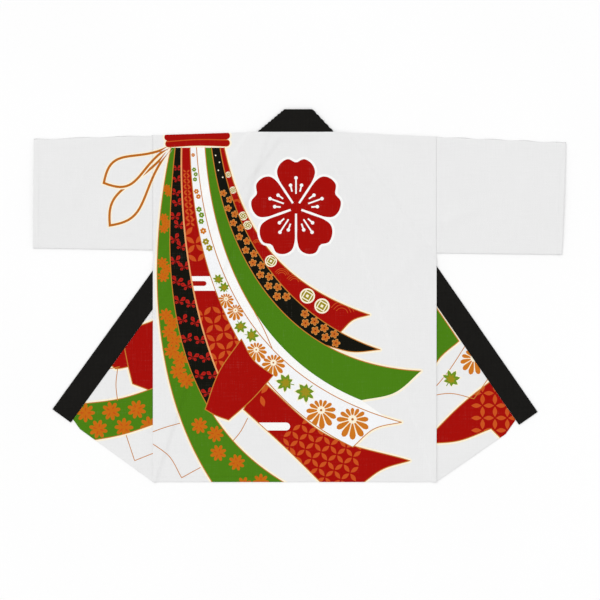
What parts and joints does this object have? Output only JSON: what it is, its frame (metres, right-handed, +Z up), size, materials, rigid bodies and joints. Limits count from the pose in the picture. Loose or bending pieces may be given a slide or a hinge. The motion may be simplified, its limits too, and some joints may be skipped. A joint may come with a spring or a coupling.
{
  "type": "happi coat",
  "caption": "Happi coat laid flat, back up: boxy cotton body, straight open sleeves, fronts folded out beside it and a black collar band, printed with a bundle of ribbons.",
  "frame": {"origin": "middle of the coat's outline, on the surface that it lies on", "axes": "+X across the coat from the wearer's left sleeve to the right sleeve, +Y from hem to collar, +Z up from the surface, out of the coat's back"},
  "size_m": [1.2488, 0.8748, 0.0046],
  "materials": {
    "printed_cotton": "plain-weave cotton, pale grey-white, matt, with a multicoloured print",
    "black_cotton": "plain-weave cotton, black, matt, doubled"
  },
  "bodies": {
    "root": {"back_body": "printed_cotton", "front_left": "printed_cotton", "front_right": "printed_cotton", "sleeve_left": "printed_cotton", "sleeve_right": "printed_cotton", "collar_band": "black_cotton"}
  },
  "joints": []
}
